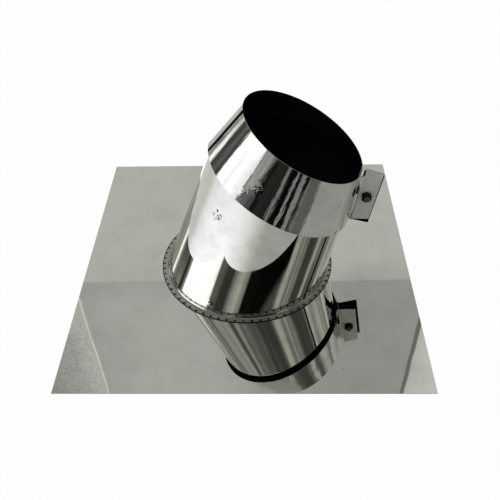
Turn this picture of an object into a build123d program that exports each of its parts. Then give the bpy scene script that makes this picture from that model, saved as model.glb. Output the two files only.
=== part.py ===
"""Roof flashing for a leaning flue: a flat sheet plate, a tapered upstand and a split storm collar.

Millimetres, +Z up. The origin is the middle of the plate's underside. The plate lies flat, and the
upstand and the collar lean towards +X. Everything lean related lies in one upright plane through
the upstand's axis, parallel to XZ.
"""

import os
from math import atan2, cos, degrees, hypot, pi, radians, sin, sqrt, tan

from build123d import *

os.makedirs("parts", exist_ok=True)

# The flue that the flashing is made for
flue_diameter = 180.0
flue_clearance = 0.3  # between the flue and the collar's top edge, all round
flue_air_gap = 12.2  # between the flue and the outside of the upstand's top edge

# Base plate
plate_side = 500.0
plate_sheet = 0.8
cutout_margin = 1.0  # the cut-out is this much larger than the inside of the upstand's foot

# Upstand, a rolled cone of sheet whose axis leans towards +X
upstand_sheet = 0.8
upstand_lean = 16.0  # degrees from upright
upstand_taper = 4.6  # degrees, half the angle of the cone
upstand_length = 201.0  # along its axis, from the plate to the square-cut top edge
upstand_foot_x = 3.6  # where the axis meets the plate
upstand_foot_y = -5.0
flange_width = 9.5  # from the outside of the wall to the flange's edge
flange_bend = 2.5  # radius of the bend between wall and flange
weld_pitch = 12.0  # along the row of spot welds
weld_diameter = 3.6
weld_depth = 0.25
weld_wall_angle = 35.0  # degrees from upright
weld_inset = 3.0  # from the flange's edge to the middle of the row
seam_azimuth = -49.0  # degrees round the upstand's axis from the +X side
seam_width = 1.6
seam_depth = 0.3
seam_start = 6.0  # clear of the foot's bend

# Storm collar, a rolled and split cone of sheet that rests on the upstand's top edge
collar_sheet = 1.0  # measured in the plane of the rings
collar_lean = 28.1  # degrees from upright, square to both of its edges
collar_taper = 15.4  # degrees, half the angle of the cone
collar_skew = 4.65  # degrees that the band's middle line leans back from square
skirt_drop = 30.0  # from the seat on the upstand to the lower edge
seat_clearance = 0.15
split_offset = -11.5  # from the collar's middle to the middle of the split
lug_gap = 7.0
lug_bend_foot = 7.0  # radius of the bend at the band's lower edge
lug_bend_top = 8.5
lug_width = 25.0  # of the front lug's flat, from the end of the bend
back_lug_width = 26.5
lug_height = 87.7  # along the end of the bend
lug_drop = 8.3  # how far the front lug hangs below the band's lower edge
back_lug_drop = 15.5
lug_foot_slope = 6.5  # degrees; the front lug's lower edge rises outwards and the back one's falls
lug_top_slope = 10.5  # degrees that both top edges fall outwards
lug_notch_depth = 14.0  # between the lug's top corner and the band, which stays round above it
lug_notch_radius = 5.0

# Clamp bolt and nut, a hexagon set of M8 size
bolt_diameter = 8.0
bolt_hole_clearance = 0.5
bolt_length = 20.0
bolt_inset = 10.8  # from the end of the bend to the bolt's middle
bolt_rise = 43.4  # from the front lug's lower end
bolt_end_chamfer = 1.0
head_height = 5.3
hex_across_flats = 13.0
hex_turn = 30.0  # degrees; the nut came to rest with a corner at the top, and the head alike
nut_height = 6.5
nut_bore_clearance = 0.05
hex_chamfer_angle = 30.0  # degrees

# The wall and the cutting bodies reach past the real ends by this much
overshoot = 5.0


# Directions and places worked out from the sizes above

lean_axis = Vector(0, 0, 1).rotate(Axis.Y, upstand_lean)
lean_side = Vector(1, 0, 0).rotate(Axis.Y, upstand_lean)
foot = Vector(upstand_foot_x, upstand_foot_y, plate_sheet)
upstand_side_plane = Plane(origin=foot, x_dir=lean_side, z_dir=(0, -1, 0))

upstand_slope = tan(radians(upstand_taper))
upstand_top_radius = flue_diameter / 2 + flue_air_gap
upstand_foot_radius = upstand_top_radius + upstand_length * upstand_slope
upstand_wall = upstand_sheet / cos(radians(upstand_taper))

collar_axis = Vector(0, 0, 1).rotate(Axis.Y, collar_lean)
collar_side = Vector(1, 0, 0).rotate(Axis.Y, collar_lean)
collar_slope = tan(radians(collar_taper))
skew_slope = tan(radians(collar_skew))

# The collar leans more than the upstand, so the upstand's round top edge reaches above and below
# the level of the seat. Shifting the collar towards +X shares that out between both sides.
seat_reach = upstand_top_radius * sin(radians(collar_lean - upstand_lean))
seat_shift = collar_slope * seat_reach
seat_radius = hypot(upstand_top_radius, seat_shift) + seat_clearance
opening_radius = flue_diameter / 2 + flue_clearance
collar_height = skirt_drop + (seat_radius - opening_radius) / collar_slope

seat_center = foot + lean_axis * upstand_length + collar_side * seat_shift
collar_base = seat_center - collar_axis * skirt_drop + collar_side * (skirt_drop * skew_slope)


def foot_oval(radius):
    """Half lengths and middle of the oval where a leaning cone of this foot radius meets the plate."""
    lean, taper = radians(upstand_lean), radians(upstand_taper)
    near = radius * cos(taper) / cos(lean - taper)
    far = radius * cos(taper) / cos(lean + taper)
    half_x = (near + far) / 2
    half_y = half_x * sqrt(1 - (sin(lean) / cos(taper)) ** 2)
    return half_x, half_y, upstand_foot_x + (near - far) / 2


# Base plate

inner_x, inner_y, inner_middle = foot_oval(upstand_foot_radius - upstand_wall)

with BuildPart() as base_plate:
    with BuildSketch(Plane.XY):
        Rectangle(plate_side, plate_side)
        with Locations((inner_middle, upstand_foot_y)):
            Ellipse(inner_x + cutout_margin, inner_y + cutout_margin, mode=Mode.SUBTRACT)
    extrude(amount=plate_sheet)


# Upstand


def cone_section(foot_radius, above):
    """Half section of a cone about the upstand's axis, from below its foot to past its top."""
    low, high = -below_foot, upstand_length + above
    with BuildSketch(upstand_side_plane) as section:
        with BuildLine():
            Polyline(
                (0, low),
                (foot_radius - low * upstand_slope, low),
                (foot_radius - high * upstand_slope, high),
                (0, high),
                close=True,
            )
        make_face()
    return section.sketch


def weld_row():
    """Middles of the spot welds, spread evenly round the flange."""
    row_x = outer_x + flange_width - weld_inset
    row_y = outer_y + flange_width - weld_inset
    count = round(2 * pi * sqrt((row_x**2 + row_y**2) / 2) / weld_pitch)
    turns = [2 * pi * i / count for i in range(count)]
    return [(outer_middle + row_x * cos(t), upstand_foot_y + row_y * sin(t)) for t in turns]


outer_x, outer_y, outer_middle = foot_oval(upstand_foot_radius)
below_foot = upstand_foot_radius * tan(radians(upstand_lean)) + 2 * overshoot
axis_line = Axis(foot, lean_axis)
flange_top = Plane.XY.offset(plate_sheet + upstand_sheet)

with BuildPart() as upstand:
    revolve(cone_section(upstand_foot_radius, 0), axis=axis_line)
    split(bisect_by=Plane.XY.offset(plate_sheet), keep=Keep.TOP)

    with BuildSketch(Plane.XY.offset(plate_sheet)):
        with Locations((outer_middle, upstand_foot_y)):
            Ellipse(outer_x + flange_width, outer_y + flange_width)
    extrude(amount=upstand_sheet)

    top_of_flange = upstand.faces().filter_by(Axis.Z).group_by(Axis.Z)[1].sort_by(SortBy.AREA)[-1]
    fillet(top_of_flange.inner_wires()[0].edges(), flange_bend)

    revolve(cone_section(upstand_foot_radius - upstand_wall, overshoot), axis=axis_line, mode=Mode.SUBTRACT)

    underside_edges = upstand.edges().group_by(Axis.Z)[0]
    fillet(underside_edges.sort_by(SortBy.LENGTH)[0], flange_bend + upstand_sheet)

    # Each spot weld leaves a shallow round dent
    with BuildSketch(flange_top):
        with Locations(*weld_row()):
            Circle(weld_diameter / 2)
    extrude(amount=-weld_depth, taper=weld_wall_angle, mode=Mode.SUBTRACT)

    # The welded seam is a fine groove along one straight line of the cone
    seam_side = lean_side.rotate(Axis((0, 0, 0), lean_axis), seam_azimuth)
    seam_line = lean_axis - seam_side * upstand_slope
    seam_tool = (seam_width**2 / 4 + seam_depth**2) / (2 * seam_depth)
    seam_foot = foot + seam_side * upstand_foot_radius
    seam_rise = (plate_sheet + upstand_sheet + seam_start - seam_foot.Z) / seam_line.Z
    seam_origin = seam_foot + seam_line * seam_rise + seam_side * (seam_tool - seam_depth)
    with BuildSketch(Plane(origin=seam_origin, z_dir=seam_line)):
        Circle(seam_tool)
    extrude(amount=upstand_length, mode=Mode.SUBTRACT)


# Storm collar


def ring_plane(height):
    """The plane of the band's round section at a height above its lower edge."""
    center = collar_base + collar_axis * height - collar_side * (height * skew_slope)
    return Plane(origin=center, x_dir=collar_side, z_dir=collar_axis)


def outer_radius(height):
    return seat_radius + collar_sheet + (skirt_drop - height) * collar_slope


front_face = split_offset - lug_gap / 2 - collar_sheet
back_face = split_offset + lug_gap / 2 + collar_sheet


def bend_radius(height):
    """The bend opens out steadily from the band's lower edge to its top edge."""
    return lug_bend_foot + (lug_bend_top - lug_bend_foot) * height / collar_height


def bend_center(height, face, side):
    """Middle of the bend that touches the ring from outside and the lug's outer face."""
    radius, across = bend_radius(height), face + side * bend_radius(height)
    return sqrt((outer_radius(height) + radius) ** 2 - across**2), across


def lug_root(height):
    """Where the bend ends and the flat of the lug begins, seen square to the lugs."""
    along = bend_center(height, front_face, -1)[0]
    return ring_plane(height).from_local_coords((along, split_offset, 0))


root_low, root_high = lug_root(0), lug_root(collar_height)
lug_plane = Plane(origin=root_low, x_dir=Vector(0, 1, 0).cross(root_high - root_low), z_dir=(0, -1, 0))
bolt_place = (bolt_inset, bolt_rise - lug_drop)
width_on_ring = 1 / lug_plane.x_dir.dot(collar_side)  # the rings cross the lugs at a slant
edge_reach = back_lug_drop + back_lug_width  # how far the lugs can stand past the band's edges
cut_reach = 2 * (lug_height + back_lug_width)
end_reach = lug_bend_top + 3 * collar_sheet  # takes in the whole bend and a strip of the band
split_width = lug_gap / 2 + end_reach


def band_section(height):
    """The sheet cut across: nearly a full ring, with both ends bent out into lugs."""
    radius, bend = outer_radius(height), bend_radius(height)
    ends = []
    with BuildSketch(ring_plane(height)) as section:
        with BuildLine():
            for face, side, width in ((front_face, -1, lug_width), (back_face, 1, back_lug_width)):
                along, across = bend_center(height, face, side)
                reach = along + width * width_on_ring
                ends.append(degrees(atan2(across, along)))
                start, finish = ends[-1] - side * 180, -side * 90
                inner_face = face - side * collar_sheet
                CenterArc((along, across), bend, start, finish - start)
                CenterArc((along, across), bend + collar_sheet, start, finish - start)
                Line((along, face), (reach, face))
                Line((along, inner_face), (reach, inner_face))
                Line((reach, face), (reach, inner_face))
            for ring_radius in (radius, radius - collar_sheet):
                CenterArc((0, 0), ring_radius, ends[1], 360 + ends[0] - ends[1])
        make_face()
    return section.sketch


def round_section(height):
    """The sheet cut across where it stays round as far as the split."""
    radius = outer_radius(height)
    with BuildSketch(ring_plane(height)) as section:
        Circle(radius)
        Circle(radius - collar_sheet, mode=Mode.SUBTRACT)
        with Locations((radius, split_offset)):
            Rectangle(radius, lug_gap, mode=Mode.SUBTRACT)
    return section.sketch


def lug_foot_cut(drop, foot_slope):
    """Side view of what is cut away below a lug."""
    rise = cut_reach * tan(radians(foot_slope))
    with BuildSketch(lug_plane) as outline:
        with BuildLine():
            Polyline(
                (-end_reach, -drop),
                (0, -drop),
                (cut_reach, rise - drop),
                (cut_reach, -cut_reach),
                (-end_reach, -cut_reach),
                close=True,
            )
        make_face()
    return outline.sketch


def lug_top_cut(drop):
    """Side view of what is cut away above a lug and in the notch between lug and band."""
    top = lug_height - drop
    fall = cut_reach * tan(radians(lug_top_slope))
    notch_floor = top - lug_notch_depth
    notch_side = notch_floor + lug_notch_radius
    with BuildSketch(lug_plane) as outline:
        with BuildLine():
            Polyline(
                (0, notch_side),
                (0, top),
                (cut_reach, top - fall),
                (cut_reach, cut_reach),
                (-end_reach, cut_reach),
                (-end_reach, notch_floor),
                (-lug_notch_radius, notch_floor),
            )
            RadiusArc((-lug_notch_radius, notch_floor), (0, notch_side), -lug_notch_radius)
        make_face()
    return outline.sketch


# The two ends of the band above the notches, where it is round as far as the split
with BuildPart() as band_ends:
    loft([round_section(0), round_section(collar_height)], ruled=True)

front_top_cut = extrude(lug_top_cut(lug_drop), amount=split_width)
back_top_cut = extrude(lug_top_cut(back_lug_drop), amount=-split_width)
round_ends = band_ends.part & (front_top_cut + back_top_cut)

with BuildPart() as storm_collar:
    loft([band_section(-edge_reach), band_section(collar_height + edge_reach)], ruled=True)

    # Both edges are cut round the band, and the two lugs are left standing past them
    for edge_height, outwards in ((0, -1), (collar_height, 1)):
        with BuildSketch(ring_plane(edge_height)):
            Rectangle(2 * cut_reach, 2 * cut_reach)
            with Locations((0, split_offset)):
                Rectangle(cut_reach, 2 * split_width, align=(Align.MIN, Align.CENTER), mode=Mode.SUBTRACT)
        extrude(amount=outwards * 2 * edge_reach, mode=Mode.SUBTRACT)

    extrude(lug_foot_cut(lug_drop, lug_foot_slope), amount=split_width, mode=Mode.SUBTRACT)
    extrude(lug_foot_cut(back_lug_drop, -lug_foot_slope), amount=-split_width, mode=Mode.SUBTRACT)
    add(front_top_cut, mode=Mode.SUBTRACT)
    add(back_top_cut, mode=Mode.SUBTRACT)
    add(round_ends)

    with BuildSketch(lug_plane):
        with Locations(bolt_place):
            Circle(bolt_diameter / 2 + bolt_hole_clearance)
    extrude(amount=split_width, both=True, mode=Mode.SUBTRACT)


# Clamp bolt and nut

bolt_middle = lug_plane.from_local_coords((*bolt_place, 0))
bolt_head_seat = Plane(
    origin=(bolt_middle.X, collar_base.Y + back_face, bolt_middle.Z), x_dir=(1, 0, 0), z_dir=(0, -1, 0)
)
nut_seat = Plane(
    origin=(bolt_middle.X, collar_base.Y + front_face, bolt_middle.Z), x_dir=(1, 0, 0), z_dir=(0, -1, 0)
)
hex_corner = hex_across_flats / sqrt(3)
hex_chamfer = (hex_corner - hex_across_flats / 2) * tan(radians(hex_chamfer_angle))


def round_off_corners(plane, height, both_ends):
    """Turn the corners of a hexagon down to its flats at one end or both."""
    low = hex_chamfer if both_ends else 0
    low_radius = hex_across_flats / 2 if both_ends else hex_corner
    with BuildSketch(Plane(origin=plane.origin, x_dir=plane.x_dir, z_dir=-plane.y_dir)) as section:
        with BuildLine():
            Polyline(
                (0, 0),
                (low_radius, 0),
                (hex_corner, low),
                (hex_corner, height - hex_chamfer),
                (hex_across_flats / 2, height),
                (0, height),
                close=True,
            )
        make_face()
    revolve(section.sketch, axis=Axis(plane.origin, plane.z_dir), mode=Mode.INTERSECT)


with BuildPart() as clamp_bolt:
    with BuildSketch(bolt_head_seat):
        RegularPolygon(hex_across_flats / 2, 6, major_radius=False, rotation=hex_turn)
    extrude(amount=-head_height)
    with BuildSketch(bolt_head_seat):
        Circle(bolt_diameter / 2)
    extrude(amount=bolt_length)
    chamfer(clamp_bolt.edges().sort_by(Axis.Y)[0], bolt_end_chamfer)

with BuildPart() as clamp_nut:
    with BuildSketch(nut_seat):
        RegularPolygon(hex_across_flats / 2, 6, major_radius=False, rotation=hex_turn)
    extrude(amount=nut_height)
    round_off_corners(nut_seat, nut_height, both_ends=True)
    with BuildSketch(nut_seat):
        Circle(bolt_diameter / 2 + nut_bore_clearance)
    extrude(amount=nut_height, mode=Mode.SUBTRACT)


pieces = {
    "base_plate": base_plate,
    "upstand": upstand,
    "storm_collar": storm_collar,
    "clamp_bolt": clamp_bolt,
    "clamp_nut": clamp_nut,
}
for name, piece in pieces.items():
    piece.part.label = name
    export_step(piece.part, f"parts/{name}.step")
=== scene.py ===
# %% [markdown]
# # A roof flashing in bright stainless sheet
# A square plate lies on the roof, a leaning tapered upstand is welded to it by a flange, and a
# split storm collar sits on the upstand's top edge, clamped by one bolt through two lugs.
# The imported model already has every sheet at its true size and thickness, so it is kept as it
# is. This script adds what a model for measuring leaves out: the finish of each sheet, the
# welds' dark marks, the bolt's thread, and a studio for the metal to reflect, because a
# polished surface is seen mostly by what stands round it.

# %% Load the imported model
from math import cos, pi, radians, sin, sqrt, tan

import bpy
from mathutils import Matrix, Vector


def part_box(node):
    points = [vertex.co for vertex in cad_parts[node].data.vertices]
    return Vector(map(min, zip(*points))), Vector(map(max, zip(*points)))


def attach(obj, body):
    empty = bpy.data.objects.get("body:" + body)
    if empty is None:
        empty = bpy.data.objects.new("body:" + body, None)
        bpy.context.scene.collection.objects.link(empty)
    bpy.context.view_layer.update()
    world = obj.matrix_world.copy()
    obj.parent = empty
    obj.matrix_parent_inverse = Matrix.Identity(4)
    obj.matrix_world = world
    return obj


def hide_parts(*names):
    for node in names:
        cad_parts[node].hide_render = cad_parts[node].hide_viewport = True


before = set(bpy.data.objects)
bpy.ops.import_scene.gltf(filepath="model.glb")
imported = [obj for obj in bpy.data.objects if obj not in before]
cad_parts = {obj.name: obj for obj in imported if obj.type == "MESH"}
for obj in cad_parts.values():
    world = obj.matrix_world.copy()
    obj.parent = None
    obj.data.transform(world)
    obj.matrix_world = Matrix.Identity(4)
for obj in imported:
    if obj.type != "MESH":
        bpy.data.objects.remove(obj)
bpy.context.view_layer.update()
scene = bpy.context.scene
scene.view_settings.view_transform = "Standard"
print("pieces:", sorted(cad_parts))

# %% [markdown]
# ## Sizes
# The finishes have to know where the sheets are, to tell the dark inside of a tube from its
# bright outside. These are the part's own main sizes, in metres and degrees.

# %% Sizes of the part
MM = 0.001
PLATE_TOP = 0.8 * MM
FOOT = Vector((3.6, -5.0, 0.8)) * MM
UPSTAND_LEAN = radians(16.0)
UPSTAND_TAPER = radians(4.6)
UPSTAND_LENGTH = 201.0 * MM
UPSTAND_SHEET = 0.8 * MM
FLANGE_WIDTH = 9.5 * MM
UPSTAND_TOP_RADIUS = 102.2 * MM
UPSTAND_FOOT_RADIUS = UPSTAND_TOP_RADIUS + UPSTAND_LENGTH * tan(UPSTAND_TAPER)

COLLAR_LEAN = radians(28.1)
COLLAR_SLOPE = tan(radians(15.4))
COLLAR_SKEW = tan(radians(4.65))
COLLAR_SHEET = 1.0 * MM
COLLAR_BASE = Vector((52.2306, -5.0, 163.621)) * MM
COLLAR_FOOT_RADIUS = 111.784 * MM


def leaning(angle):
    """The axis of a tube that leans towards +X, and the direction across it."""
    return Vector((sin(angle), 0, cos(angle))), Vector((cos(angle), 0, -sin(angle)))


def foot_oval(radius):
    """Half lengths and middle of the oval where the leaning cone meets the plate."""
    near = radius * cos(UPSTAND_TAPER) / cos(UPSTAND_LEAN - UPSTAND_TAPER)
    far = radius * cos(UPSTAND_TAPER) / cos(UPSTAND_LEAN + UPSTAND_TAPER)
    half_x = (near + far) / 2
    half_y = half_x * sqrt(1 - (sin(UPSTAND_LEAN) / cos(UPSTAND_TAPER)) ** 2)
    return half_x, half_y, Vector((FOOT.x + (near - far) / 2, FOOT.y, PLATE_TOP + UPSTAND_SHEET))


upstand_axis, upstand_side = leaning(UPSTAND_LEAN)
collar_axis, collar_side = leaning(COLLAR_LEAN)
oval_x, oval_y, oval_middle = foot_oval(UPSTAND_FOOT_RADIUS)
print("upstand foot radius, mm:", round(UPSTAND_FOOT_RADIUS / MM, 2))


# %% [markdown]
# ## Two helpers for node trees
# Colours are written as sRGB hex, as a colour picker shows them, and turned to linear once.
# The other helper adds a node with its settings and its links, so that each tree below reads
# as a list of steps.

# %% Colour and node helpers
def linear(hex_colour):
    """An sRGB hex colour as linear RGBA."""
    channels = [int(hex_colour[i : i + 2], 16) / 255 for i in (1, 3, 5)]
    straight = [c / 12.92 if c <= 0.04045 else ((c + 0.055) / 1.055) ** 2.4 for c in channels]
    return (*straight, 1.0)


def add(tree, kind, *values, **named):
    """Add a node with its settings and links, and give back its outputs.

    Plain values fill the inputs in order. A name in small letters is a setting, i6 is the input
    at place 6, and any other name is an input's, with _ for a space. A socket is linked, and a
    list holds several links.
    """
    node = tree.nodes.new(kind)
    inputs = dict(enumerate(values))
    for name, value in named.items():
        if name[1:].isdigit():
            inputs[int(name[1:])] = value
        elif name[0].isupper():
            inputs[name.replace("_", " ")] = value
        else:
            setattr(node, name, value)
    for place, value in inputs.items():
        if isinstance(value, (bpy.types.NodeSocket, list)):
            for source in value if isinstance(value, list) else [value]:
                tree.links.new(source, node.inputs[place])
        else:
            node.inputs[place].default_value = value
    return node.outputs


SMOOTH = {"interpolation_type": "SMOOTHSTEP"}  # a map range that eases in and out

# %% [markdown]
# ## One way to grow a piece with Geometry Nodes
# Spot welds, the ripples of a seam and a screw thread all repeat by a rule. Each gets a tree
# with named inputs for its sizes, so a reader can open the tree and change them. The helper
# below closes a tree, gives it its sizes, and keeps the result as a plain mesh, because the
# export wants plain meshes.

# %% Growing helpers
SOCKETS = {int: "NodeSocketInt", float: "NodeSocketFloat", Vector: "NodeSocketVector"}


def new_tree(name, sizes):
    """A geometry tree with one named input for each size, and the sockets that hold them."""
    tree = bpy.data.node_groups.new(name, "GeometryNodeTree")
    tree.interface.new_socket("Geometry", in_out="INPUT", socket_type="NodeSocketGeometry")
    for size, value in sizes.items():
        tree.interface.new_socket(size, in_out="INPUT", socket_type=SOCKETS[type(value)])
    tree.interface.new_socket("Geometry", in_out="OUTPUT", socket_type="NodeSocketGeometry")
    return tree, add(tree, "NodeGroupInput")


def grow(name, tree, geometry, finish, sizes):
    """End the tree with its finish, give it its sizes, and keep what it makes as a plain mesh."""
    solid = add(tree, "GeometryNodeRealizeInstances", Geometry=geometry)[0]
    painted = add(tree, "GeometryNodeSetMaterial", Geometry=solid, Material=finish)[0]
    add(tree, "NodeGroupOutput", Geometry=painted)
    piece = bpy.data.objects.new(name, bpy.data.meshes.new(name))
    scene.collection.objects.link(piece)
    modifier = piece.modifiers.new(name, "NODES")
    modifier.node_group = tree
    for item in tree.interface.items_tree:
        if item.in_out == "INPUT" and item.name in sizes:
            value = sizes[item.name]
            modifier[item.identifier] = tuple(value) if isinstance(value, Vector) else value
    ready = piece.evaluated_get(bpy.context.evaluated_depsgraph_get())
    mesh = bpy.data.meshes.new_from_object(ready)
    piece.modifiers.clear()
    piece.data = mesh
    print(name, "faces:", len(mesh.polygons))
    return piece


# %% [markdown]
# ## Mirror-polished sheet
# The plate is stainless sheet with a mirror finish: chromium steel polished until it shows
# sharp reflections, slightly grey and slightly warm. A thin flat sheet is never quite flat, so
# its reflections swim a little: very shallow waves, drawn with a bump. Handling
# leaves faint cloudy smears, which dull the mirror.

# %% Finish of the plate
STEEL = "#CECEC6"
SMEARED_STEEL = "#C3C4BB"
# Colour of real grit specks, and of the painted shade on the plate's sheared edges
GRIT_AND_EDGE_SHADE = "#1E1D1B"
CLEAN_ROUGHNESS = 0.008
SMEAR_ROUGHNESS = 0.022
PLATE_WAVE = 0.14 * MM
SPECK_SHARE = 0.28


def new_metal(name, base, roughness, metallic=1.0):
    material = bpy.data.materials.new(name)
    material.use_nodes = True
    tree = material.node_tree
    shader = tree.nodes["Principled BSDF"]
    shader.inputs["Metallic"].default_value = metallic
    shader.inputs["Base Color"].default_value = linear(base)
    shader.inputs["Roughness"].default_value = roughness
    return material, tree, shader


def mirror_sheet():
    material, tree, shader = new_metal("mirror polished stainless sheet", STEEL, CLEAN_ROUGHNESS)
    place = add(tree, "ShaderNodeTexCoord")["Object"]

    # Waves 130 mm and 30 mm long
    waves = add(tree, "ShaderNodeTexNoise", Vector=place, Scale=7.5, Detail=2.0, Roughness=0.35)
    ripples = add(tree, "ShaderNodeTexNoise", Vector=place, Scale=34.0, Detail=1.0)
    height = add(tree, "ShaderNodeMath", ripples[0], 0.08, waves[0], operation="MULTIPLY_ADD")[0]
    bump = add(tree, "ShaderNodeBump", Strength=1.0, Distance=PLATE_WAVE, Height=height)
    tree.links.new(bump[0], shader.inputs["Normal"])

    # Cloudy smears about 60 mm across
    clouds = add(tree, "ShaderNodeTexNoise", Vector=place, Scale=16.0, Detail=6.0, Roughness=0.62)
    smear = add(tree, "ShaderNodeMapRange", clouds[0], 0.4, 0.75, **SMOOTH)[0]
    tone = add(
        tree, "ShaderNodeMix", smear, i6=linear(STEEL), i7=linear(SMEARED_STEEL), data_type="RGBA"
    )[2]
    roughness = add(
        tree, "ShaderNodeMath", smear, SMEAR_ROUGHNESS, CLEAN_ROUGHNESS, operation="MULTIPLY_ADD"
    )[0]
    tree.links.new(roughness, shader.inputs["Roughness"])

    # A few specks of grit about 1.5 mm across, in some of the 45 mm cells
    cells = add(tree, "ShaderNodeTexVoronoi", Vector=place, Scale=22.0)
    speck = add(tree, "ShaderNodeMath", cells["Distance"], 0.016, operation="LESS_THAN")[0]
    chance = add(tree, "ShaderNodeSeparateColor", Color=cells["Color"])[0]
    chosen = add(tree, "ShaderNodeMath", chance, 1 - SPECK_SHARE, operation="GREATER_THAN")[0]

    # The sheared edges are painted dark with the specks' colour, as painted shade
    normal = add(tree, "ShaderNodeNewGeometry")["True Normal"]
    facing = add(tree, "ShaderNodeSeparateXYZ", Vector=normal)["Z"]
    facing = add(tree, "ShaderNodeMath", facing, operation="ABSOLUTE")[0]
    edge = add(tree, "ShaderNodeMath", facing, 0.5, operation="LESS_THAN")[0]
    # Real grit specks, and painted shade on the edges
    specks_and_edge_shade = add(tree, "ShaderNodeMath", speck, chosen, edge, operation="MULTIPLY_ADD")[0]
    tone = add(tree, "ShaderNodeMix", specks_and_edge_shade, i6=tone, i7=linear(GRIT_AND_EDGE_SHADE), data_type="RGBA")[2]
    tree.links.new(tone, shader.inputs["Base Color"])
    return material


plate_finish = mirror_sheet()
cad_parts["base_plate"].data.materials.clear()
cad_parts["base_plate"].data.materials.append(plate_finish)
print("plate finish:", plate_finish.name)


# %% [markdown]
# ## Rolled sheet, dark inside
# The upstand and the collar are rolled from bright stainless sheet. Inside they are dull and
# painted almost black, as painted shade. Both faces belong to one thin solid, so the finish works
# out, from the place of each point, how far it is from the middle of the sheet's thickness: less
# than nothing is the inside, and much more than nothing is a flange or a lug. Those were not
# polished again after they were bent, so they are satin, and do not mirror the room.

# %% Where a point is on a rolled sheet
def beyond_wall(tree, place, foot, axis, side, slope, skew, radius):
    """How far a point lies outside the middle of a tube's sheet, and how far along the tube."""
    from_foot = add(tree, "ShaderNodeVectorMath", place, foot, operation="SUBTRACT")["Vector"]
    along = add(tree, "ShaderNodeVectorMath", from_foot, axis, operation="DOT_PRODUCT")["Value"]
    middle = add(
        tree, "ShaderNodeVectorMath", axis - side * skew, Scale=along, operation="SCALE"
    )["Vector"]
    out = add(tree, "ShaderNodeVectorMath", from_foot, middle, operation="SUBTRACT")["Vector"]
    reach = add(tree, "ShaderNodeVectorMath", out, operation="LENGTH")["Value"]
    limit = add(tree, "ShaderNodeMath", along, -slope, radius, operation="MULTIPLY_ADD")[0]
    return add(tree, "ShaderNodeMath", reach, limit, operation="SUBTRACT")[0], along


# Foot, axis, side, slope, skew and radius of the middle of each sheet
UPSTAND_MIDDLE = (
    FOOT,
    upstand_axis,
    upstand_side,
    tan(UPSTAND_TAPER),
    0.0,
    UPSTAND_FOOT_RADIUS - UPSTAND_SHEET / 2,
)
COLLAR_MIDDLE = (
    COLLAR_BASE,
    collar_axis,
    collar_side,
    COLLAR_SLOPE,
    COLLAR_SKEW,
    COLLAR_FOOT_RADIUS - COLLAR_SHEET / 2,
)

# %% [markdown]
# ### Small dents
# Where a tool or a hand has knocked the sheet, the mirror crumples. Each dent is a place, a
# reach and a depth: near it a fine noise is added to the height of the surface, and the lines
# where that noise crosses its middle value are painted dark in the creases, as painted shade.

# %% Dents
CREASE_WIDTH = 0.03
# (place of its middle in mm, reach in mm, depth against the waves of the sheet)
DENTS = {
    "upstand": (
        ((-34.5, -77.0, 155.0), 17.0, 2.6),
        ((-50.3, -109.0, 17.5), 6.0, 3.5),
    ),
    "storm_collar": (
        ((20.0, -97.2, 211.5), 13.0, 3.5),
        ((3.0, -92.0, 205.0), 8.0, 2.5),
    ),
}


def dented(tree, place, dents):
    """Height of the crumpled places, and 1 on the fine creases that run through them, where shade
    is painted.
    """
    noise = add(tree, "ShaderNodeTexNoise", Vector=place, Scale=95.0, Detail=3.0, Distortion=1.6)
    crumple = noise[0]
    away = add(tree, "ShaderNodeMath", crumple, 0.5, operation="SUBTRACT")[0]
    away = add(tree, "ShaderNodeMath", away, operation="ABSOLUTE")[0]
    crease = add(tree, "ShaderNodeMath", away, CREASE_WIDTH, operation="LESS_THAN")[0]
    total, dark = 0.0, 0.0
    for middle, reach, depth in dents:
        away = add(
            tree, "ShaderNodeVectorMath", place, Vector(middle) * MM, operation="DISTANCE"
        )["Value"]
        near = add(tree, "ShaderNodeMapRange", away, 0.0, reach * MM, 1.0, 0.0, **SMOOTH)[0]
        dent = add(tree, "ShaderNodeMath", crumple, depth, operation="MULTIPLY")[0]
        total = add(tree, "ShaderNodeMath", near, dent, total, operation="MULTIPLY_ADD")[0]
        well_in = add(tree, "ShaderNodeMath", near, 0.4, operation="GREATER_THAN")[0]
        dark = add(tree, "ShaderNodeMath", dark, well_in, operation="MAXIMUM")[0]
    return total, add(tree, "ShaderNodeMath", dark, crease, operation="MULTIPLY")[0]


# %% [markdown]
# ### The finish itself
# One finish serves both sheets. The outside is bright steel with long waves, faint smears and
# upright folds from the rollers, which draw the reflections out into streaks. The collar's are
# deeper. Flange and lugs are satin, with painted shade as dark lines along the flange's rim, the
# foot of the wall and the lugs' edges. The creases of the dents get painted shade too. The inside
# is dull and painted almost black, as painted shade, and so are the lugs' faces in their gap.

# %% Finish of the rolled sheets
# Painted shade for the inside of the tubes and the lugs' faces in the gap between them
PAINTED_INSIDE_SHADE = "#030203"
DULLED_STEEL = "#C3C3BA"
# Painted shade for the creases, the flange's rim, the wall's foot and the lugs' edges
PAINTED_SHADE = "#12110F"
ROLLED_ROUGHNESS = 0.02
ROLLED_SMEAR = 0.045
ROLLED_WAVE = 0.22 * MM
FOLD_STRETCH = 0.93  # share of the way up the sheet that a fold is drawn out
FLANGE_SATIN = ("#A3A299", 0.7, 0.28)  # colour, metallic, roughness
LUG_SATIN = ("#F4F2EA", 0.0, 0.45)
RIM_LINE = 1.2 * MM
FOOT_LINE = 1.3 * MM
LUG_MIDDLE = -16.5 * MM  # halfway between the two lugs
LUG_REACH = 4.0 * MM  # from there to the middle of either lug's sheet


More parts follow.
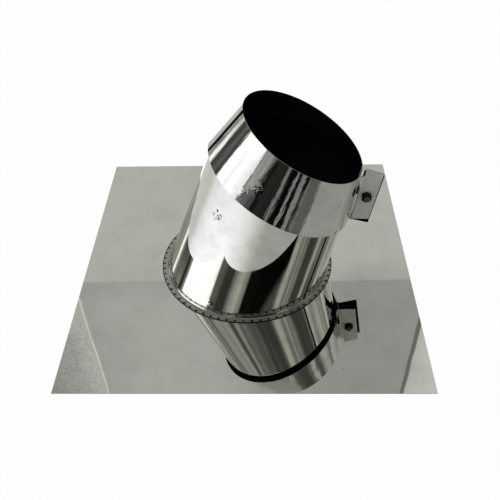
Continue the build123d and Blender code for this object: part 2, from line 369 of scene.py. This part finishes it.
def flange_lines(tree, place, beyond):
    """1 on the foot of the wall and the flange's rim, which are painted dark as painted shade."""
    from_middle = add(
        tree, "ShaderNodeVectorMath", place, oval_middle, operation="SUBTRACT"
    )["Vector"]
    half_x, half_y = oval_x + FLANGE_WIDTH, oval_y + FLANGE_WIDTH
    to_round = (1 / half_x, 1 / half_y, 0)
    scaled = add(tree, "ShaderNodeVectorMath", from_middle, to_round, operation="MULTIPLY")[0]
    reach = add(tree, "ShaderNodeVectorMath", scaled, operation="LENGTH")["Value"]
    rim = add(tree, "ShaderNodeMath", reach, 1 - RIM_LINE / half_x, operation="GREATER_THAN")[0]
    foot = add(
        tree, "ShaderNodeMath", beyond, UPSTAND_SHEET / 2 + FOOT_LINE, operation="LESS_THAN"
    )[0]
    return add(tree, "ShaderNodeMath", rim, foot, operation="MAXIMUM")[0]


def lug_edges(tree, place, beyond):
    """1 on the lugs' edges, which are painted dark as painted shade."""
    normal = add(tree, "ShaderNodeNewGeometry")["True Normal"]
    facing = add(tree, "ShaderNodeSeparateXYZ", Vector=normal)["Y"]
    facing = add(tree, "ShaderNodeMath", facing, operation="ABSOLUTE")[0]
    return add(tree, "ShaderNodeMath", facing, 0.5, operation="LESS_THAN")[0]


def rolled_sheet(name, middle, folds, dents, satin, satin_from, lines, lug_middle=None):
    """Bright outside, dark inside, satin where it reaches out past the wall."""
    material, tree, shader = new_metal(name, STEEL, ROLLED_ROUGHNESS)
    place = add(tree, "ShaderNodeTexCoord")["Object"]
    beyond, along = beyond_wall(tree, place, *middle)

    # Rolling leaves waves 70 mm long, and folds 9 mm wide that run up the sheet
    waves = add(tree, "ShaderNodeTexNoise", Vector=place, Scale=14.0, Detail=2.0, Roughness=0.4)
    rise = add(tree, "ShaderNodeMath", along, FOLD_STRETCH, operation="MULTIPLY")[0]
    up = add(tree, "ShaderNodeVectorMath", middle[1], Scale=rise, operation="SCALE")["Vector"]
    level = add(tree, "ShaderNodeVectorMath", place, up, operation="SUBTRACT")["Vector"]
    ridges = add(tree, "ShaderNodeTexNoise", Vector=level, Scale=110.0, Detail=3.5, Roughness=0.5)
    height = add(tree, "ShaderNodeMath", ridges[0], folds, waves[0], operation="MULTIPLY_ADD")[0]
    crumpled, creased = dented(tree, place, dents)
    height = add(tree, "ShaderNodeMath", crumpled, height, operation="ADD")[0]
    bump = add(tree, "ShaderNodeBump", Strength=1.0, Distance=ROLLED_WAVE, Height=height)
    tree.links.new(bump[0], shader.inputs["Normal"])

    clouds = add(tree, "ShaderNodeTexNoise", Vector=place, Scale=45.0, Detail=5.0, Roughness=0.6)
    smear = add(tree, "ShaderNodeMapRange", clouds[0], 0.4, 0.7, **SMOOTH)[0]
    shade = add(
        tree, "ShaderNodeMix", smear, i6=linear(STEEL), i7=linear(DULLED_STEEL), data_type="RGBA"
    )[2]
    # The creases of the dents get painted shade
    shade = add(tree, "ShaderNodeMix", creased, i6=shade, i7=linear(PAINTED_SHADE), data_type="RGBA")[2]
    tree.links.new(shade, shader.inputs["Base Color"])
    rolled_roughness = add(
        tree, "ShaderNodeMath", smear, ROLLED_SMEAR, ROLLED_ROUGHNESS, operation="MULTIPLY_ADD"
    )[0]
    tree.links.new(rolled_roughness, shader.inputs["Roughness"])

    colour, metallic, roughness = satin
    # Painted shade along the flange's rim, the wall's foot and the lugs' edges
    dark_lines = lines(tree, place, beyond)
    tone = add(
        tree, "ShaderNodeMix", dark_lines, i6=linear(colour), i7=linear(PAINTED_SHADE), data_type="RGBA"
    )[2]
    dull = add(tree, "ShaderNodeBsdfPrincipled", tone, metallic, roughness)[0]
    satin_full = satin_from + 0.6 * MM
    is_dull = add(tree, "ShaderNodeMapRange", beyond, satin_from, satin_full, **SMOOTH)[0]
    outside = add(tree, "ShaderNodeMixShader", is_dull, shader.outputs[0], dull)[0]

    # The inside is painted almost black, as painted shade
    dark = add(
        tree,
        "ShaderNodeBsdfPrincipled",
        Base_Color=linear(PAINTED_INSIDE_SHADE),
        Roughness=0.7,
        Specular_IOR_Level=0.03,
    )[0]
    inside = add(tree, "ShaderNodeMath", beyond, 0.0, operation="LESS_THAN")[0]
    # The lugs' faces in the gap between them get the same painted shade
    if lug_middle is not None:
        across = add(tree, "ShaderNodeSeparateXYZ", Vector=place)["Y"]
        across = add(tree, "ShaderNodeMath", across, lug_middle, operation="SUBTRACT")[0]
        across = add(tree, "ShaderNodeMath", across, operation="ABSOLUTE")[0]
        between = add(tree, "ShaderNodeMath", across, LUG_REACH, operation="LESS_THAN")[0]
        inside = add(tree, "ShaderNodeMath", inside, between, operation="MAXIMUM")[0]
    both = add(tree, "ShaderNodeMixShader", inside, outside, dark)[0]
    tree.links.new(both, tree.nodes["Material Output"].inputs["Surface"])
    return material


upstand_finish = rolled_sheet(
    "bright rolled stainless wall",
    UPSTAND_MIDDLE,
    0.09,
    DENTS["upstand"],
    FLANGE_SATIN,
    0.8 * MM,
    flange_lines,
)
collar_finish = rolled_sheet(
    "bright rolled stainless collar",
    COLLAR_MIDDLE,
    0.95,
    DENTS["storm_collar"],
    LUG_SATIN,
    5.6 * MM,
    lug_edges,
    LUG_MIDDLE,
)
for node, finish in (("upstand", upstand_finish), ("storm_collar", collar_finish)):
    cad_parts[node].data.materials.clear()
    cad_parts[node].data.materials.append(finish)
    print(node, "finish:", finish.name)

# %% [markdown]
# ## Spot welds
# The flange is held to the plate by a row of resistance welds. Each is a small nugget, painted
# darker than the sheet as painted shade, for the small dent that each weld leaves. They could be
# placed by hand, but they follow a rule: equal steps round an oval. So a circle of points is
# stretched to the oval, and a flattened sphere is set on each point, a little larger or smaller
# each time, as real welds are.

# %% Row of spot welds
WELD_INSET = 3.0 * MM
WELD_PITCH = 12.0 * MM

row_x, row_y = (half + FLANGE_WIDTH - WELD_INSET for half in (oval_x, oval_y))
weld_count = round(2 * pi * sqrt((row_x**2 + row_y**2) / 2) / WELD_PITCH)

# The nuggets' dark colour is painted shade
weld_finish, weld_tree, weld_shader = new_metal("spot weld in painted shade", "#1A1816", 0.5, 0.3)
weld_place = add(weld_tree, "ShaderNodeTexCoord")["Object"]
weld_texture = add(weld_tree, "ShaderNodeTexNoise", Vector=weld_place, Scale=900.0, Detail=3.0)
weld_bump = add(weld_tree, "ShaderNodeBump", Distance=0.0002, Height=weld_texture[0])
weld_tree.links.new(weld_bump[0], weld_shader.inputs["Normal"])

weld_sizes = {
    "Row Half Length": row_x,
    "Row Half Width": row_y,
    "Row Middle": oval_middle,
    "Count": weld_count,
    "Nugget Radius": 2.0 * MM,
    "Nugget Height": 0.35 * MM,
}
tree, sizes = new_tree("spot weld row", weld_sizes)
ring = add(tree, "GeometryNodeMeshCircle", Vertices=sizes["Count"], Radius=1.0)[0]
stretch = add(
    tree, "ShaderNodeCombineXYZ", X=sizes["Row Half Length"], Y=sizes["Row Half Width"], Z=1.0
)
row = add(
    tree, "GeometryNodeTransform", Geometry=ring, Scale=stretch[0], Translation=sizes["Row Middle"]
)[0]
ball = add(tree, "GeometryNodeMeshUVSphere", Segments=14, Rings=8, Radius=1.0)[0]
squash = add(
    tree,
    "ShaderNodeCombineXYZ",
    X=sizes["Nugget Radius"],
    Y=sizes["Nugget Radius"],
    Z=sizes["Nugget Height"],
)
nugget = add(tree, "GeometryNodeTransform", Geometry=ball, Scale=squash[0])[0]
spread = add(
    tree,
    "FunctionNodeRandomValue",
    (0.8, 0.8, 0.7),
    (1.2, 1.2, 1.2),
    Seed=4,
    data_type="FLOAT_VECTOR",
)
welds = add(tree, "GeometryNodeInstanceOnPoints", Points=row, Instance=nugget, Scale=spread[0])[0]
smooth = add(tree, "GeometryNodeSetShadeSmooth", Geometry=welds)[0]
spot_welds = grow("spot_welds", tree, smooth, weld_finish, weld_sizes)
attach(spot_welds, "root")

# %% [markdown]
# ## Welded seam
# The rolled upstand is closed by one weld along its side, a narrow dark bead of overlapping
# ripples. The tree lays points along a straight line of the cone and sets a
# flattened ripple on each.

# %% Seam bead
SEAM_TURN = radians(-49.0)
SEAM_START = 6.0 * MM
BEAD_SINK = 0.1 * MM

seam_side = Matrix.Rotation(SEAM_TURN, 3, upstand_axis) @ upstand_side
seam_line = upstand_axis - seam_side * tan(UPSTAND_TAPER)
seam_foot = FOOT + seam_side * (UPSTAND_FOOT_RADIUS - BEAD_SINK)
seam_rise = (PLATE_TOP + UPSTAND_SHEET + SEAM_START - seam_foot.z) / seam_line.z
seam_across = seam_line.cross(seam_side).normalized()
seam_out = seam_across.cross(seam_line).normalized()
seam_frame = Matrix((seam_line.normalized(), seam_across, seam_out)).transposed()

seam_finish = new_metal("dark weld bead", "#0E0D0B", 0.6, 0.0)[0]
seam_sizes = {
    "Start": seam_foot + seam_line * seam_rise,
    "End": seam_foot + seam_line * UPSTAND_LENGTH,
    "Turn": Vector(seam_frame.to_euler()),
    "Ripple Pitch": 1.1 * MM,
    "Ripple Length": 0.9 * MM,
    "Bead Half Width": 2.3 * MM,
    "Bead Height": 0.3 * MM,
}
tree, sizes = new_tree("seam bead", seam_sizes)
line = add(tree, "GeometryNodeCurvePrimitiveLine", Start=sizes["Start"], End=sizes["End"])[0]
steps = add(
    tree, "GeometryNodeResampleCurve", Curve=line, Length=sizes["Ripple Pitch"], mode="LENGTH"
)[0]
ball = add(tree, "GeometryNodeMeshUVSphere", Segments=12, Rings=6, Radius=1.0)[0]
flat = add(
    tree,
    "ShaderNodeCombineXYZ",
    X=sizes["Ripple Length"],
    Y=sizes["Bead Half Width"],
    Z=sizes["Bead Height"],
)
ripple = add(tree, "GeometryNodeTransform", Geometry=ball, Scale=flat[0])[0]
turned = add(tree, "FunctionNodeEulerToRotation", sizes["Turn"])[0]
bead = add(tree, "GeometryNodeInstanceOnPoints", Points=steps, Instance=ripple, Rotation=turned)[0]
smooth = add(tree, "GeometryNodeSetShadeSmooth", Geometry=bead)[0]
seam_bead = grow("seam_bead", tree, smooth, seam_finish, seam_sizes)
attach(seam_bead, "root")

# %% [markdown]
# ## Clamp bolt with its thread
# The model for measuring has a plain pin. The real bolt has a rolled thread, which shows beyond
# the nut and between the lugs. The tree joins a hexagon head with turned-down corners, a core,
# a pointed end, and a ridge that runs along a spiral with the standard 1.25 mm step.

# %% Bolt
bolt_low, bolt_high = (Vector(corner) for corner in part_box("clamp_bolt"))
HEAD_HEIGHT = 5.3 * MM
BOLT_END = 1.0 * MM

bolt_sizes = {
    "Thread Pitch": 1.25 * MM,
    "Thread Radius": 4.0 * MM,
    "Thread Depth": 0.62 * MM,
    "Shank Length": bolt_high.y - bolt_low.y - HEAD_HEIGHT,
    "Head Height": HEAD_HEIGHT,
    "Across Flats": bolt_high.x - bolt_low.x,
    "End Length": BOLT_END,
    "Place": Vector(
        ((bolt_low.x + bolt_high.x) / 2, bolt_high.y - HEAD_HEIGHT, (bolt_low.z + bolt_high.z) / 2)
    ),
}
bolt_finish = new_metal("dull plated steel", "#77756F", 0.4)[0]
tree, sizes = new_tree("clamp bolt", bolt_sizes)

core_radius = add(
    tree, "ShaderNodeMath", sizes["Thread Radius"], sizes["Thread Depth"], operation="SUBTRACT"
)[0]
shank_length = add(
    tree, "ShaderNodeMath", sizes["Shank Length"], sizes["End Length"], operation="SUBTRACT"
)[0]
core = add(
    tree, "GeometryNodeMeshCylinder", Vertices=48, Radius=core_radius, Depth=shank_length
)[0]
core_up = add(tree, "ShaderNodeMath", shank_length, 0.5, operation="MULTIPLY")[0]
core_up = add(tree, "ShaderNodeCombineXYZ", Z=core_up)[0]
core = add(tree, "GeometryNodeTransform", Geometry=core, Translation=core_up)[0]
tip_radius = add(tree, "ShaderNodeMath", core_radius, 0.8, operation="MULTIPLY")[0]
tip = add(
    tree,
    "GeometryNodeMeshCone",
    Vertices=48,
    Radius_Top=tip_radius,
    Radius_Bottom=core_radius,
    Depth=sizes["End Length"],
)[0]
tip_up = add(tree, "ShaderNodeCombineXYZ", Z=shank_length)[0]
tip = add(tree, "GeometryNodeTransform", Geometry=tip, Translation=tip_up)[0]

# The ridge is a diamond whose outer corner is the crest of the thread
turns = add(tree, "ShaderNodeMath", shank_length, sizes["Thread Pitch"], operation="DIVIDE")[0]
spiral = add(
    tree,
    "GeometryNodeCurveSpiral",
    Resolution=36,
    Rotations=turns,
    Start_Radius=core_radius,
    End_Radius=core_radius,
    Height=shank_length,
)[0]
level = add(tree, "GeometryNodeSetCurveNormal", Curve=spiral, mode="Z_UP")[0]
diamond = add(
    tree, "GeometryNodeCurvePrimitiveCircle", Resolution=4, Radius=sizes["Thread Depth"]
)[0]
ridge = add(tree, "GeometryNodeCurveToMesh", Curve=level, Profile_Curve=diamond, Fill_Caps=True)[0]

# The head is a hexagon cut by a flat cone, which turns its corners down. The cone is longer
# than the head at both ends, so that no two faces lie on each other.
corner = add(tree, "ShaderNodeMath", sizes["Across Flats"], sqrt(3), operation="DIVIDE")[0]
hexagon = add(
    tree, "GeometryNodeMeshCylinder", Vertices=6, Radius=corner, Depth=sizes["Head Height"]
)[0]
head_down = add(tree, "ShaderNodeMath", sizes["Head Height"], -0.5, operation="MULTIPLY")[0]
head_down = add(tree, "ShaderNodeCombineXYZ", Z=head_down)[0]
hexagon = add(
    tree,
    "GeometryNodeTransform",
    Geometry=hexagon,
    Rotation=(0.0, 0.0, radians(30)),
    Translation=head_down,
)[0]
wide = add(tree, "ShaderNodeMath", sizes["Across Flats"], 1.437, operation="MULTIPLY")[0]
narrow = add(tree, "ShaderNodeMath", sizes["Across Flats"], 0.393, operation="MULTIPLY")[0]
cone_length = add(tree, "ShaderNodeMath", sizes["Head Height"], 1.2, operation="MULTIPLY")[0]
turned_down = add(
    tree,
    "GeometryNodeMeshCone",
    Vertices=96,
    Radius_Top=wide,
    Radius_Bottom=narrow,
    Depth=cone_length,
)[0]
cone_down = add(tree, "ShaderNodeMath", sizes["Head Height"], -1.1, operation="MULTIPLY")[0]
cone_down = add(tree, "ShaderNodeCombineXYZ", Z=cone_down)[0]
turned_down = add(tree, "GeometryNodeTransform", Geometry=turned_down, Translation=cone_down)[0]
head = add(
    tree, "GeometryNodeMeshBoolean", Mesh_2=[hexagon, turned_down], operation="INTERSECT"
)[0]
whole = add(tree, "GeometryNodeJoinGeometry", [core, tip, ridge, head])[0]
laid = add(
    tree,
    "GeometryNodeTransform",
    Geometry=whole,
    Rotation=(radians(90), 0.0, 0.0),
    Translation=sizes["Place"],
)[0]
bolt = grow("threaded_bolt", tree, laid, bolt_finish, bolt_sizes)
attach(bolt, "root")
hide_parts("clamp_bolt")

# %% [markdown]
# ## Nut
# The nut keeps the shape of the model for measuring. It is steel with a black oxide finish,
# darker than the bolt.

# %% Finish of the nut
nut_finish = new_metal("blackened steel", "#2B2A29", 0.45)[0]
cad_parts["clamp_nut"].data.materials.clear()
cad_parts["clamp_nut"].data.materials.append(nut_finish)
print("nut finish:", nut_finish.name)

# %% [markdown]
# ## Camera
# The camera's place, tilt and lens were fitted to the photograph's square plate and the two ovals
# of the tube, so that the outlines fall on each other.

# %% Camera
CAMERA_PLACE = Vector((29.9, -699.5, 682.4)) * MM
CAMERA_PITCH, CAMERA_TURN, CAMERA_ROLL = radians(43.47), radians(1.97), radians(-1.673)
camera_data = bpy.data.cameras.new("camera")
camera_data.lens = 44.37
camera_data.sensor_width = 36.0
camera = bpy.data.objects.new("camera", camera_data)
camera.matrix_world = (
    Matrix.Translation(CAMERA_PLACE)
    @ Matrix.Rotation(CAMERA_TURN, 4, "Z")
    @ Matrix.Rotation(pi / 2 - CAMERA_PITCH, 4, "X")
    @ Matrix.Rotation(CAMERA_ROLL, 4, "Z")
)
scene.collection.objects.link(camera)
scene.camera = camera
print("camera lens, mm:", camera_data.lens)

# %% [markdown]
# ## The room that the metal reflects
# Polished sheet has hardly any look of its own: it shows the room. So the room is drawn, as
# plain areas of light and dark on a sphere, each with soft or sharp edges: a bright window on
# the left, dark posts, a grey back wall under a darker ceiling panel, and the dark side where
# the camera stands. A turn is measured in degrees from the back (+Y) towards the right (+X), a
# height in degrees above the horizon. This needs no lamps and leaves no grain in the picture,
# and every other view of the object reflects the same room.

# %% Areas of the room
ROOM_LIGHT = 0.45  # where no area is named
# name: (turn of its middle, half its width, lowest, highest, softness of its edges, light)
ROOM = {
    "floor": (0, 190, -95, -12, 5, 0.52),
    "floor on the right": (85, 58, -95, -12, 16, 0.43),
    "far right corner of the floor": (40, 24, -95, -25, 22, 0.28),
    "floor lit by the window": (-105, 38, -75, -12, 56, 2.15),
    "floor at the back left": (-48, 20, -60, -12, 16, 0.8),
    "patch of sun on the floor": (-17, 9, -40, -12, 9, 1.65),
    "left wall": (-40, 20, -12, 62, 4, 0.68),
    "pale top of the left wall": (-44, 7, 50, 61, 5, 0.9),
    "shade beside the panel": (-31, 5, 44, 62, 3, 0.5),
    "back wall": (-9, 36, 16, 48, 0.5, 0.68),
    "picture rail": (-28, 5, 31, 38, 2, 0.47),
    "right wall": (62, 39, 36, 60, 4, 0.53),
    "lower right wall": (68, 24, 24, 37, 4, 0.33),
    "bright strip beside the panel": (27, 6.5, 43, 62, 2, 0.85),
    "pale frame on the right wall": (70, 7, 37, 42, 2, 0.68),
    "top of the right wall": (82, 13, 52, 66, 4, 0.28),
    "dark post on the right": (113, 9, 20, 75, 6, 0.17),
    "slot beside the post": (123, 4, 34, 44, 3, 0.03),
    "bright strip on the right": (138, 8, 34, 60, 4, 0.55),
    "above the camera": (178, 32, 46, 80, 6, 0.16),
    "dark side of the camera": (170, 25, -26, 45, 4, 0.006),
    "dark doorway": (-160, 15, -12, 13, 4, 0.02),
    "low shelf": (151, 10, -26, -14, 4, 0.15),
    "gap between curtains": (176, 1.6, -30, 8, 2, 0.3),
    "second gap between curtains": (166, 2.4, -30, 2, 3, 0.34),
    "third gap between curtains": (157, 1.4, -30, 0, 2, 0.22),
    "fourth gap between curtains": (-171, 2.0, -20, 10, 3, 0.2),
    "lamp above the camera": (-153, 6, 19, 40, 5, 0.58),
    "ceiling beside the camera": (-150, 17, 50, 80, 7, 0.36),
    "beam": (-140, 6, 56, 76, 5, 0.19),
    "dark curtain": (-140, 6, 18, 36, 3, 0.13),
    "edge of the curtain": (-131, 4, 18, 36, 3, 0.27),
    "foot of the curtain": (-137, 9, -12, 12, 4, 0.16),
    "pale door": (-137, 8, 12, 18, 2, 0.5),
    "window frame": (-63, 2.2, 2, 16, 2, 0.06),
    "left curtain": (-47, 1.4, -10, 20, 2, 0.2),
    "lower window": (-105, 21, -14, 18, 3, 1.75),
    "window": (-106, 20, 18, 34, 3, 3.3),
    "window post": (-69, 10, 4, 26, 4, 0.14),
    "curtain beside the window": (-69, 10, 25, 39, 4, 0.33),
    "dark edge of the window": (-79, 2.5, -4, 32, 2, 0.08),
    "low side window": (-57, 5, -7, 5, 3, 1.35),
    "side window": (-54, 2.5, 22, 40, 2, 1.9),
    "ceiling over the window": (-110, 26, 50, 80, 8, 0.52),
    "ceiling in shade": (-71, 14, 50, 80, 6, 0.36),
    "overhead": (0, 190, 79, 95, 2, 0.5),
}

# The ceiling panel has straight edges, so it is set on a flat wall one unit behind the object.
# name: (middle to the right, half its width, lowest, highest, softness, light)
PANEL = {
    "ceiling panel": (-0.035, 0.415, 1.049, 6.0, 0.006, 0.47),
    "ceiling panel, window side": (-0.26, 0.19, 1.049, 6.0, 0.25, 0.6),
    "ceiling panel, far side": (0.25, 0.13, 1.049, 6.0, 0.2, 0.44),
    "edge of the panel, window side": (-0.4545, 0.002, 1.09, 6.0, 0.002, 0.9),
    "edge of the panel, far side": (0.386, 0.006, 1.1, 6.0, 0.006, 0.2),
}

# The wall on the window side of the panel is rough plaster
PLASTER = (-1.462, 1.0, 1.06, 6.0, 0.006)
PLASTER_DEPTH = 0.16


def area_mask(tree, turn, height, middle, half_width, low, high, softness):
    """1 inside an area of the room and 0 outside it, with a smooth edge."""
    level, half_height = (low + high) / 2, (high - low) / 2
    masks = []
    for angle, centre, half in ((turn, middle, half_width), (height, level, half_height)):
        away = add(tree, "ShaderNodeMath", angle, centre, operation="SUBTRACT")[0]
        away = add(tree, "ShaderNodeMath", away, 180, -180, operation="WRAP")[0]
        away = add(tree, "ShaderNodeMath", away, operation="ABSOLUTE")[0]
        edge = (half - softness / 2, half + softness / 2)
        masks.append(add(tree, "ShaderNodeMapRange", away, *edge, 1.0, 0.0, **SMOOTH)[0])
    return add(tree, "ShaderNodeMath", *masks, operation="MULTIPLY")[0]


world = bpy.data.worlds.new("room")
scene.world = world
world.use_nodes = True
room = world.node_tree
room.nodes.clear()
direction = add(room, "ShaderNodeTexCoord")["Generated"]
xyz = add(room, "ShaderNodeSeparateXYZ", Vector=direction)
turn = add(room, "ShaderNodeMath", xyz["X"], xyz["Y"], operation="ARCTAN2")[0]
turn = add(room, "ShaderNodeMath", turn, operation="DEGREES")[0]
height = add(room, "ShaderNodeMath", xyz["Z"], operation="ARCSINE")[0]
height = add(room, "ShaderNodeMath", height, operation="DEGREES")[0]

light = ROOM_LIGHT
for *area, brightness in ROOM.values():
    mask = area_mask(room, turn, height, *area)
    change = add(room, "ShaderNodeMath", brightness, light, operation="SUBTRACT")[0]
    light = add(room, "ShaderNodeMath", mask, change, light, operation="MULTIPLY_ADD")[0]
behind = add(room, "ShaderNodeMath", xyz["Y"], 0.001, operation="MAXIMUM")[0]
right = add(room, "ShaderNodeMath", xyz["X"], behind, operation="DIVIDE")[0]
up = add(room, "ShaderNodeMath", xyz["Z"], behind, operation="DIVIDE")[0]
for *area, brightness in PANEL.values():
    mask = area_mask(room, right, up, *area)
    change = add(room, "ShaderNodeMath", brightness, light, operation="SUBTRACT")[0]
    light = add(room, "ShaderNodeMath", mask, change, light, operation="MULTIPLY_ADD")[0]
print("areas in the room:", len(ROOM) + len(PANEL))

wall = add(room, "ShaderNodeCombineXYZ", X=right, Y=up)[0]
plaster = add(room, "ShaderNodeTexNoise", Vector=wall, Scale=70.0, Detail=2.0, Distortion=2.5)
rough = add(
    room, "ShaderNodeMapRange", plaster[0], 0.3, 0.7, -PLASTER_DEPTH, PLASTER_DEPTH, **SMOOTH
)[0]
beside = area_mask(room, right, up, *PLASTER)
rough = add(room, "ShaderNodeMath", rough, beside, 1.0, operation="MULTIPLY_ADD")[0]
light = add(room, "ShaderNodeMath", light, rough, operation="MULTIPLY")[0]

# %% [markdown]
# A real room is never that plain. Narrow upright stripes, such as folds, frames and shelves,
# are what a curved sheet stretches into streaks, so the light is varied along the turn. The back
# wall, the floor, the ceiling overhead and the window stay plain. The window's light is a little
# bluer than the rest, as daylight is.

# %% Stripes and background
DAYLIGHT = "#F4F5FF"
WHITE = "#FFFFFF"
STRIPE_DEPTH = (-0.45, 0.4)
WINDOW_STRIPES = 0.25  # share of the stripes that is left on the window
drawn_out = add(room, "ShaderNodeMath", height, 0.15, operation="MULTIPLY")[0]
angles = add(room, "ShaderNodeCombineXYZ", X=turn, Y=drawn_out)[0]
stripes = add(room, "ShaderNodeTexNoise", Vector=angles, Scale=0.085, Detail=2.0, Roughness=0.4)
stripe = add(room, "ShaderNodeMapRange", stripes[0], 0.38, 0.62, *STRIPE_DEPTH, **SMOOTH)[0]
from_back = add(room, "ShaderNodeMath", turn, operation="ABSOLUTE")[0]
plain_at_back = add(room, "ShaderNodeMapRange", from_back, 26.0, 38.0, **SMOOTH)[0]
plain_floor = add(room, "ShaderNodeMapRange", height, -14.0, -4.0, **SMOOTH)[0]
plain_overhead = add(room, "ShaderNodeMapRange", height, 70.0, 80.0, 1.0, 0.0, **SMOOTH)[0]
from_window = add(room, "ShaderNodeMath", turn, ROOM["window"][0], operation="SUBTRACT")[0]
from_window = add(room, "ShaderNodeMath", from_window, operation="ABSOLUTE")[0]
striped = add(
    room, "ShaderNodeMapRange", from_window, 16.0, 26.0, WINDOW_STRIPES, 1.0, **SMOOTH
)[0]
for plain in (plain_at_back, plain_floor, plain_overhead):
    striped = add(room, "ShaderNodeMath", striped, plain, operation="MULTIPLY")[0]
stripe = add(room, "ShaderNodeMath", stripe, striped, 1.0, operation="MULTIPLY_ADD")[0]
varied = add(room, "ShaderNodeMath", light, stripe, operation="MULTIPLY")[0]
bright = add(room, "ShaderNodeMapRange", light, 0.9, 1.5, **SMOOTH)[0]
tint = add(
    room, "ShaderNodeMix", bright, i6=linear(WHITE), i7=linear(DAYLIGHT), data_type="RGBA"
)[2]
reflected = add(room, "ShaderNodeBackground", Color=tint, Strength=varied)[0]
plain_white = add(room, "ShaderNodeBackground", Color=linear(WHITE), Strength=1.0)[0]
is_camera = add(room, "ShaderNodeLightPath")["Is Camera Ray"]
seen = add(room, "ShaderNodeMixShader", is_camera, reflected, plain_white)[0]
add(room, "ShaderNodeOutputWorld", Surface=seen)

# %% [markdown]
# ## Floor
# The floor is plain and white. What the camera sees of it is mostly its own white, and the
# rest takes the object's shadow. Reflections pass through it and show the room's own floor.

# %% Floor
FLOOR_SIDE = 60.0
FLOOR_BELOW = 0.5 * MM
GLOW_SHARE = 0.985
signs = ((-1, -1), (1, -1), (1, 1), (-1, 1))
corners = [(x * FLOOR_SIDE / 2, y * FLOOR_SIDE / 2, -FLOOR_BELOW) for x, y in signs]
floor_mesh = bpy.data.meshes.new("floor")
floor_mesh.from_pydata(corners, [], [(0, 1, 2, 3)])
floor = bpy.data.objects.new("floor", floor_mesh)
scene.collection.objects.link(floor)
floor.visible_glossy = False
floor_finish = bpy.data.materials.new("white studio floor")
floor_finish.use_nodes = True
tree = floor_finish.node_tree
matt = tree.nodes["Principled BSDF"]
matt.inputs["Base Color"].default_value = linear("#F2F2F2")
matt.inputs["Roughness"].default_value = 0.9
matt.inputs["Specular IOR Level"].default_value = 0.0
glow = add(tree, "ShaderNodeEmission", Color=linear(WHITE), Strength=1.0)
is_camera = add(tree, "ShaderNodeLightPath")["Is Camera Ray"]
share = add(tree, "ShaderNodeMath", is_camera, GLOW_SHARE, operation="MULTIPLY")[0]
mixed = add(tree, "ShaderNodeMixShader", share, matt.outputs[0], glow[0])[0]
tree.links.new(mixed, tree.nodes["Material Output"].inputs["Surface"])
floor_mesh.materials.append(floor_finish)
print("floor side, m:", FLOOR_SIDE)
